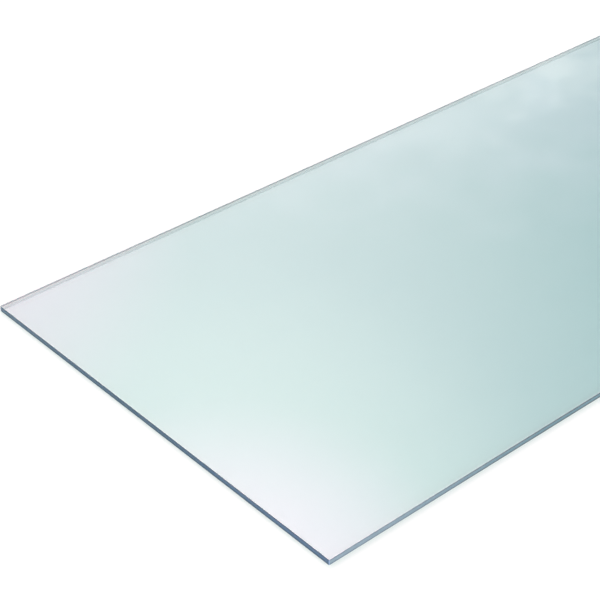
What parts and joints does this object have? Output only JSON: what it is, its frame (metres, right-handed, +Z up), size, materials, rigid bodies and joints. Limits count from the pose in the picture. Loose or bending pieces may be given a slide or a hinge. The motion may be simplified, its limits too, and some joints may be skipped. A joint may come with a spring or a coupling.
{
  "type": "polycarbonate sheet",
  "caption": "Flat clear solid polycarbonate sheet, cut square with scraped edges, for glazing, guards and covers.",
  "frame": {"origin": "middle of the underside, which lies on the floor", "axes": "+X along the sheet's length, +Y across its width, +Z up through its thickness, out of the top face"},
  "size_m": [1, 0.5, 0.006],
  "materials": {
    "clear_polycarbonate": "gloss"
  },
  "bodies": {
    "root": {"polycarbonate_sheet": "clear_polycarbonate"}
  },
  "joints": []
}
